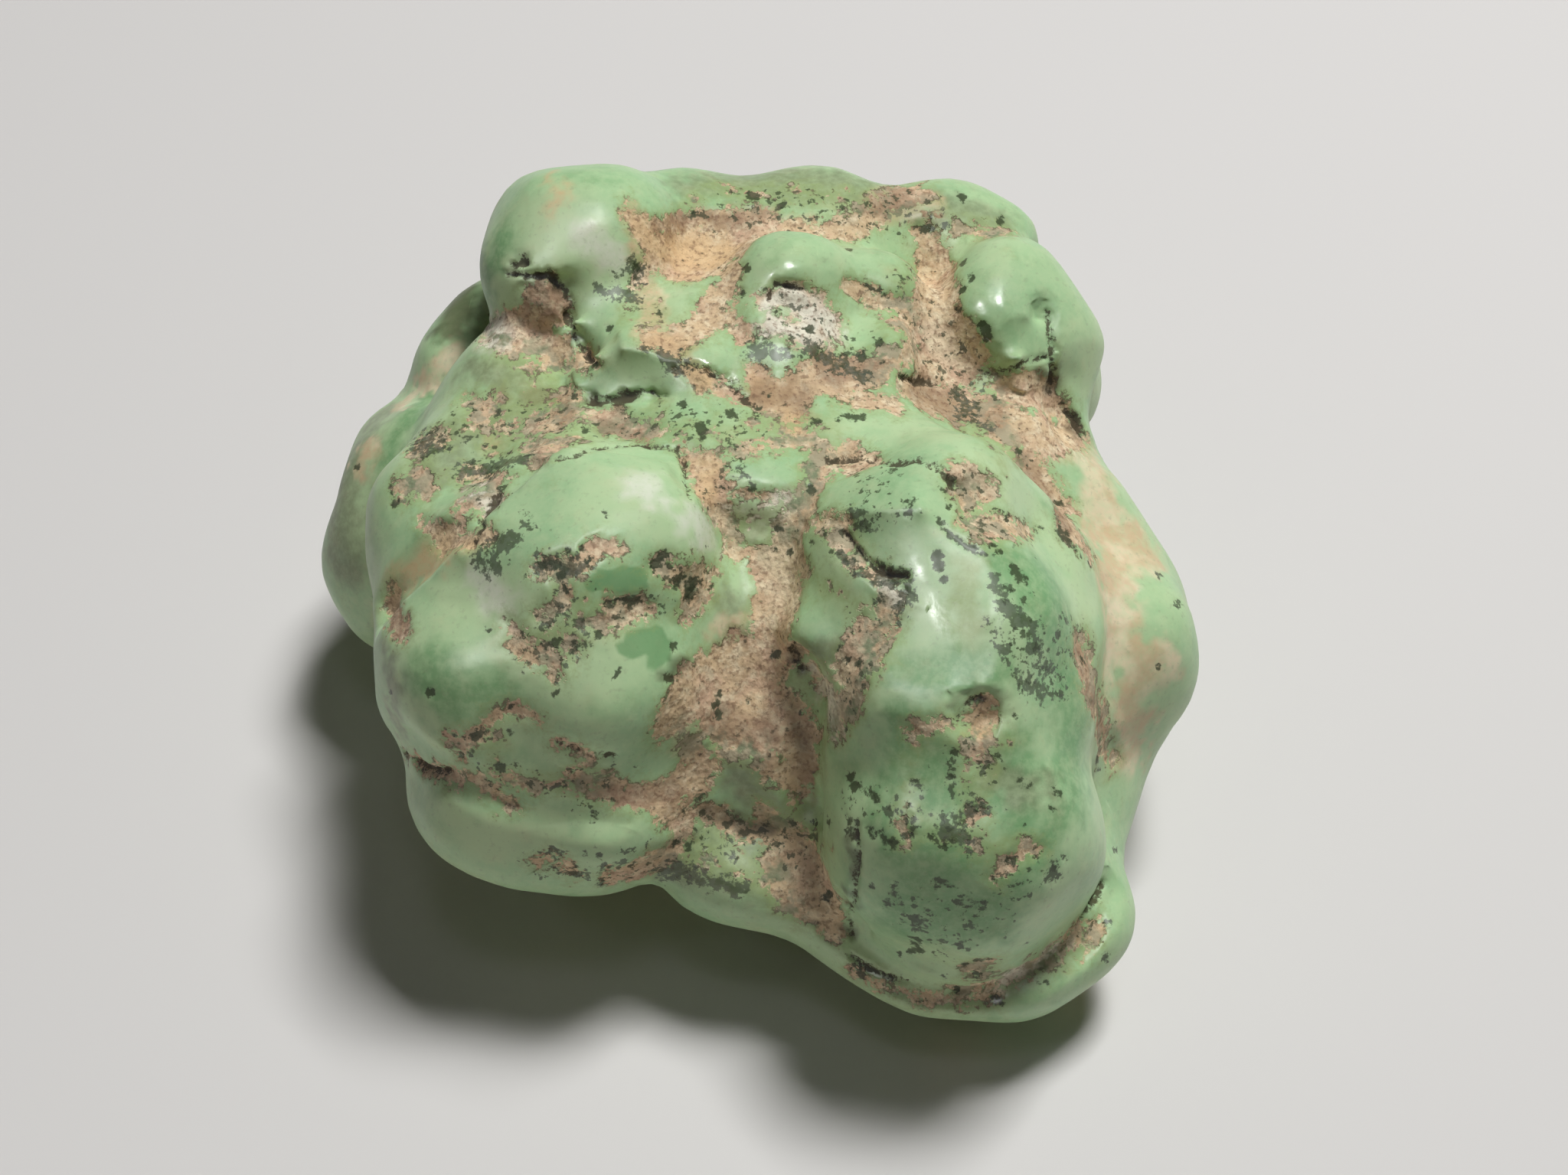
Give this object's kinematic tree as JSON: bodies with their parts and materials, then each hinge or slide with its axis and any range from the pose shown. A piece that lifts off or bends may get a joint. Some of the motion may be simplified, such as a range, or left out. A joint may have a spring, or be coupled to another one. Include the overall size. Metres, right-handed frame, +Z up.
{
  "type": "raw turquoise nugget",
  "caption": "Lobed raw turquoise nugget: waxy green domes in pitted tan matrix, with creases, pits and a worn underside it rests on.",
  "frame": {"origin": "under the middle of the stone's bounding box, on the surface it rests on", "axes": "+Z up from the resting faces, +X across the stone to the right of the valley, +Y from the near domes to the far ridge"},
  "size_m": [0.0498, 0.0464, 0.0297],
  "materials": {
    "turquoise": "waxy water-worn green turquoise with rough tan matrix, ochre stains and dark specks"
  },
  "bodies": {
    "root": {"turquoise_nugget": "turquoise"}
  },
  "joints": []
}
